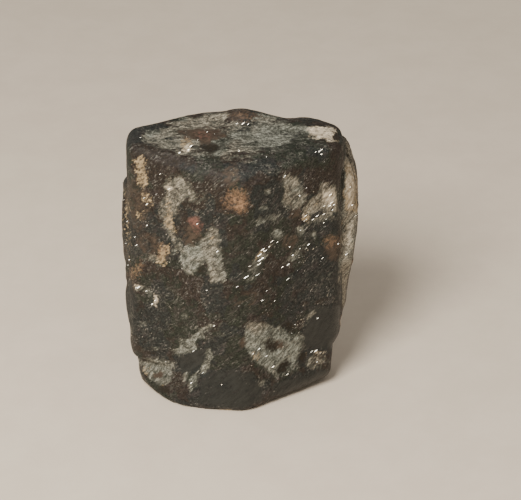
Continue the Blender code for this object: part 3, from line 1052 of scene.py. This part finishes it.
# %% Stone material
ROUGH_NOISE = (0.8, 0.3, 0.7)
ROUGHNESS = (0.52, 0.68)
BUMP_FIBRES = (0.22, 0.2, 0.8)
BUMP_GRAIN = (0.14, 0.2, 0.8)
BUMP_STRENGTH = 0.7
BUMP_DEPTH = 0.04
STONE_SPECULAR = 0.28


def make_stone_material():
    """Staurolite with its minerals in layers."""
    material, tree, shader, place = new_material("weathered_staurolite")
    fibres = along_grain(tree, place)
    amount = {name: add(tree, "ShaderNodeAttribute", attribute_name=name).outputs["Fac"] for name in masks}
    mica = grains_above(tree, mottle(tree, fibres, *MICA_NOISE), amount["mica"], MICA_EDGE)
    rock = base_rock(tree, place, fibres, amount)
    colour = mix(tree, mica, rock, silver_mica(tree, place, fibres, amount))
    rough = spread(tree, mottle(tree, place, *ROUGH_NOISE), 0.0, 1.0, *ROUGHNESS)
    colour, rough = mineral_layers(tree, place, fibres, amount, colour, rough)

    height = calculate(tree, "ADD", mottle(tree, fibres, *BUMP_FIBRES), mottle(tree, place, *BUMP_GRAIN))
    bump = add(tree, "ShaderNodeBump", {"Height": height, "Strength": BUMP_STRENGTH,
                                        "Distance": BUMP_DEPTH * MM})
    tree.links.new(bump.outputs["Normal"], shader.inputs["Normal"])
    tree.links.new(colour, shader.inputs["Base Color"])
    tree.links.new(rough, shader.inputs["Roughness"])
    shader.inputs["Specular IOR Level"].default_value = STONE_SPECULAR
    return material


staurolite.data.materials.append(make_stone_material())
print("layers:", ", ".join(LAYERS))

# %% [markdown]
# ## Flakes of mica
#
# Mica splits into thin scales, and each scale is a tiny mirror. Bump can't make such sharp points of light,
# so the flakes are modelled: flat six-sided lenses half sunk in the skin, and drawn out along the grain.
# They crowd in streaks and on the mica. The ones that flash in the picture are tilted so that they mirror
# the main light into the camera.

# %% The brightest flakes, in pixels
# Flashes as (x, y, length)
FLASHES = {
    "top": [(188, 148, 3.4), (187, 150, 2.4), (236, 126, 3.4), (241, 126, 5.0), (246, 126, 3.4)],
    "left": [(161, 172, 2.0), (157, 194, 2.6), (169, 190, 2.8), (149, 203, 2.8), (145, 199, 2.0),
             (149, 227, 2.2), (134, 238, 2.6), (137, 245, 2.4)],
    "wedge": [(197, 225, 2.6), (218, 252, 3.0)],
    "white_spots": [(139, 288, 4.4), (137, 287, 3.0), (147, 293, 2.6), (155, 303, 4.2), (154, 305, 3.0)],
    "curl": [(130, 261, 2.0), (129, 266, 2.0)],
    "slants": [(208, 292, 2.0), (216, 326, 2.8), (194, 351, 2.4), (201, 351, 2.2)],
    "under_the_lens": [(319, 152, 4.4), (321, 158, 3.2), (315, 154, 2.4), (323, 151, 2.4)],
    "under_the_top": [(265, 158, 2.4), (240, 153, 2.0)],
    "oval": [(283, 178, 2.6)],
    "banner": [(304, 216, 3.4), (328, 201, 3.2), (331, 199, 3.0), (333, 204, 2.6), (326, 209, 3.4),
               (331, 211, 3.2), (325, 206, 2.6), (335, 207, 2.6), (329, 205, 2.6)],
    "under_the_banner": [(318, 217.7, 3.0), (312, 219, 2.6), (323.7, 216, 2.6), (326, 220, 2.4),
                         (325.7, 227, 2.6), (305, 221, 3.0)],
    "long_streak": [(237, 286.6, 2.0), (247, 279, 3.4), (249.7, 269, 2.4), (257.7, 265.4, 3.0),
                    (261, 261, 4.2), (260.3, 255.7, 4.0), (263, 253, 3.4), (265, 251, 3.4), (269, 247, 2.4),
                    (272.3, 243.7, 3.2), (277, 244.5, 2.6)],
    "right_streak": [(281.5, 267.5, 2.8), (286.7, 263, 4.4), (294, 258, 2.8), (299.7, 257.7, 3.0),
                     (299.7, 251.7, 2.4), (305.7, 249, 3.0), (307.7, 245.7, 2.6), (289, 247, 3.2)],
    "right": [(323, 262, 2.6), (325.7, 288, 3.4)],
    "middle": [(256, 276, 3.0), (286, 280, 2.4), (237, 304, 2.8), (261, 303, 2.2), (266, 292, 2.0),
               (301, 233, 2.0)],
    "fan": [(258, 351, 3.2), (254, 358, 2.4), (268, 357, 3.0), (288.5, 375, 4.0), (274, 371, 2.6)],
    "right_foot": [(313, 354, 3.6), (316, 352, 3.0), (321, 353, 2.2), (317, 364, 2.4)],
    "low": [(204, 374, 2.4), (193, 384, 2.6), (222, 386, 1.8)],
    "right_edge": [(316, 319, 2.0), (338, 245, 2.0)],
    "right_strip": [(346, 257, 2.4), (352, 205, 2.2), (350, 190, 2.2), (356, 218, 2.2), (347, 150, 2.4),
                    (345, 230, 2.0)],
    "left_edge": [(123, 200, 2.0), (127, 221, 2.0)],
    "single": [(141, 141, 2.0), (179, 155, 2.6), (207, 133, 2.0), (160, 172.5, 2.2)],
}
flashes = np.array([flash for group in FLASHES.values() for flash in group])
flash_places, flash_sizes = flashes[:, :2], flashes[:, 2]
print(len(flashes), "flakes flash")

# %% Lenses
FLAKE_SIDES = 6
FLAKE_FLATNESS = 0.06
LEAST_FACING = 0.6


def nearest_points(places):
    """Number of the skin point that faces the camera and shows nearest to each pixel place."""
    shown = np.flatnonzero(facing > LEAST_FACING)
    gap = np.linalg.norm(pixel[shown][None] - places[:, None], axis=-1)
    return shown[gap.argmin(axis=1)]


def flake_mesh(middles, normals, lengths, widths):
    """Closed lenses: a ring across each normal, drawn out along the grain, with a tip above and below it."""
    fabric = face_normal(0.0, FABRIC_RISE)
    along = unit(fabric - (normals @ fabric)[:, None] * normals, TINY)
    across = np.cross(normals, along)
    angle = np.arange(FLAKE_SIDES) * 2 * np.pi / FLAKE_SIDES
    ring = (middles[:, None] + along[:, None] * (np.cos(angle)[None, :, None] * lengths[:, None, None])
            + across[:, None] * (np.sin(angle)[None, :, None] * widths[:, None, None]))
    rise = normals * (FLAKE_FLATNESS * widths)[:, None]
    vertices = np.concatenate([ring, np.stack([middles + rise, middles - rise], axis=1)], axis=1)
    here = np.arange(FLAKE_SIDES)
    after = (here + 1) % FLAKE_SIDES
    top = np.stack([here, after, np.full(FLAKE_SIDES, FLAKE_SIDES)], -1)
    under = np.stack([after, here, np.full(FLAKE_SIDES, FLAKE_SIDES + 1)], -1)
    one = np.concatenate([top, under])
    faces = one[None] + (np.arange(len(middles)) * (FLAKE_SIDES + 2))[:, None, None]
    return vertices.reshape(-1, 3), faces.reshape(-1, 3)


# %% Scattered flakes
FLAKE_COUNT = 3400
FLAKE_SEED = 8
# How likely a flake is at a point: anywhere, in a streak, on mica and on tan, and how seldom on a facet
ANYWHERE = 0.012
IN_STREAKS = 0.35
ON_MICA = 2.2
BETWEEN_STREAKS = 0.3
ON_TAN = 1.2
NOT_ON_FACETS = 0.95
LOWEST_FLAKE = 0.6
STREAKS = (4.0, 1.6, 81)
STREAK_LEVELS = (0.15, 0.75)
# Lengths in millimetres: the shortest, and a random extra that is mostly small
SHORTEST = 0.035
EXTRA = 0.040
MOST_EXTRA = 4
WIDTH_SHARES = (0.15, 0.45)
FLAKE_TILT = 0.55

draw = np.random.default_rng(FLAKE_SEED)
streaks = ease(drawn_field(*STREAKS), *STREAK_LEVELS)
likely = (ANYWHERE + IN_STREAKS * streaks + ON_MICA * masks["mica"] * (BETWEEN_STREAKS + streaks)
          + ON_TAN * masks["tan"])
likely = likely * (1 - NOT_ON_FACETS * masks["facet"]) * (1 - masks["hole_and_shade"]) * (skin[:, 2] > LOWEST_FLAKE)
chosen = draw.choice(len(skin), FLAKE_COUNT, replace=False, p=likely / likely.sum())
lengths = SHORTEST + EXTRA * draw.exponential(size=FLAKE_COUNT).clip(0, MOST_EXTRA)
widths = lengths * draw.uniform(*WIDTH_SHARES, FLAKE_COUNT)
tilts = unit(outward[chosen] + FLAKE_TILT * draw.normal(size=(FLAKE_COUNT, 3)), TINY)
print("scattered flakes are", lengths.min().round(3), "to", lengths.max().round(3), "mm long from the middle")

# %% Flashing flakes
LIGHT_TURN = -118.0
LIGHT_RISE = 48.0
FLASH_DRIFT = 1.1
FLASH_REACH = 0.72
FLASH_VARIES = (0.6, 1.3)
FLASH_WIDTH = 0.14
FLASH_SCATTER = 0.05
SCATTER_VARIES = (0.3, 1.9)
FLAKE_LIFT = 0.01
FLAKE_FLOOR = 0.02

to_light = face_normal(LIGHT_TURN, LIGHT_RISE)
flashing = nearest_points(flash_places + FLASH_DRIFT * draw.normal(size=flash_places.shape))
flash_lengths = flash_sizes / PIXELS_PER_MM * FLASH_REACH * draw.uniform(*FLASH_VARIES, len(flashes))
mirror = unit(to_light + to_camera[flashing], TINY)
scatter = FLASH_SCATTER * draw.uniform(*SCATTER_VARIES, (len(mirror), 1))
flash_tilts = unit(mirror + scatter * draw.normal(size=mirror.shape), TINY)

flake_at = np.concatenate([chosen, flashing])
vertices, faces = flake_mesh(points[flake_at] + outward[flake_at] * FLAKE_LIFT,
                             np.concatenate([tilts, flash_tilts]),
                             np.concatenate([lengths, flash_lengths]),
                             np.concatenate([widths, flash_lengths * FLASH_WIDTH]))
vertices[:, 2] = np.clip(vertices[:, 2], FLAKE_FLOOR, None)
flakes = make_mesh("mica_flakes", vertices + shift, faces, smooth=False)
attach(flakes, "root")
print(len(flake_at), "flakes")

# %% [markdown]
# A flake is pale and half metallic. A full metal would turn black wherever it mirrors the dark, and plain
# white would look like chalk. Some are a little warmer, as old mica is.

# %% Flake material
FLAKE_SILVER = (0.38, 0.37, 0.34)
FLAKE_WARM = (0.42, 0.385, 0.32)
WARM_NOISE = (1.6, 0.46, 0.58)
POLISH_GRAIN = 0.3
POLISH = (0.16, 0.34)
FLAKE_METALLIC = 0.7


def make_flake_material():
    """Silver mica: pale, half metallic and smooth, with a warm cast here and there."""
    material, tree, shader, place = new_material("mica_flake")
    colour = mix(tree, mottle(tree, place, *WARM_NOISE), FLAKE_SILVER, FLAKE_WARM)
    rough = spread(tree, mottle(tree, place, POLISH_GRAIN), 0.0, 1.0, *POLISH)
    tree.links.new(colour, shader.inputs["Base Color"])
    tree.links.new(rough, shader.inputs["Roughness"])
    shader.inputs["Metallic"].default_value = FLAKE_METALLIC
    return material


flakes.data.materials.append(make_flake_material())
print("made", flakes.name)

# %% [markdown]
# ## Floor and light
#
# The stone stands on a plain pale floor. One soft light stands near, at the front left and high, so that
# the floor is brightest in front and the shadow falls softly to the back right. The world fills the
# shadows.

# %% Floor
FLOOR_SIZE = 900.0
FLOOR_LIGHT = (0.88, 0.775, 0.645)
FLOOR_DARK = (0.84, 0.735, 0.61)
FLOOR_GRAIN = 9.0
FLOOR_ROUGHNESS = 0.6


def make_floor_material():
    """Pale warm stone, only just mottled."""
    material, tree, shader, place = new_material("pale_floor")
    colour = mix(tree, mottle(tree, place, FLOOR_GRAIN), FLOOR_LIGHT, FLOOR_DARK)
    tree.links.new(colour, shader.inputs["Base Color"])
    shader.inputs["Roughness"].default_value = FLOOR_ROUGHNESS
    return material


half = FLOOR_SIZE / 2
floor_corners = np.array([(-half, -half, 0.0), (half, -half, 0.0), (half, half, 0.0), (-half, half, 0.0)])
floor = make_mesh("floor", floor_corners, np.array([[0, 1, 2, 3]]), material=make_floor_material())
print("the floor is", FLOOR_SIZE, "mm wide")

# %% Main light and sky
LIGHT_DISTANCE = 260.0
LIGHT_SIZE = 110.0
LIGHT_WATTS = 0.95
LIGHT_COLOUR = (1.0, 0.94, 0.85)
SKY_COLOUR = (1.0, 0.93, 0.84)
SKY_STRENGTH = 0.36


def aim_at(item, place, towards):
    """Put an object at a place in millimetres, moved by the stone's shift, with its -Z along a direction."""
    item.location = Vector(place + shift) * MM
    item.rotation_euler = Vector(towards).to_track_quat("-Z", "Y").to_euler()


lamp = bpy.data.lights.new("main_light", "AREA")
lamp.shape = "DISK"
lamp.size = LIGHT_SIZE * MM
lamp.energy = LIGHT_WATTS
lamp.color = LIGHT_COLOUR
main_light = bpy.data.objects.new("main_light", lamp)
bpy.context.scene.collection.objects.link(main_light)
aim_at(main_light, AIM + to_light * LIGHT_DISTANCE, -to_light)

world = bpy.data.worlds.new("soft_sky")
world.use_nodes = True
sky = world.node_tree.nodes["Background"]
sky.inputs["Color"].default_value = opaque(SKY_COLOUR)
sky.inputs["Strength"].default_value = SKY_STRENGTH
bpy.context.scene.world = world
print("the light gives", LIGHT_WATTS, "W from", LIGHT_DISTANCE, "mm")

# %% [markdown]
# The camera object takes the place and the direction that the minerals were laid out with. Its lens follows
# from the focal length in pixels, so it can't drift away from them.

# %% The camera object
NEAR_CLIP = 10
FAR_CLIP = 5000

optics = bpy.data.cameras.new("camera")
optics.sensor_width = SENSOR_MM
optics.lens = focal * SENSOR_MM / PICTURE_WIDTH
optics.clip_start = NEAR_CLIP * MM
optics.clip_end = FAR_CLIP * MM
camera = bpy.data.objects.new("camera", optics)
bpy.context.scene.collection.objects.link(camera)
aim_at(camera, eye, look)
bpy.context.scene.camera = camera
print("camera lens", round(optics.lens, 1), "mm")
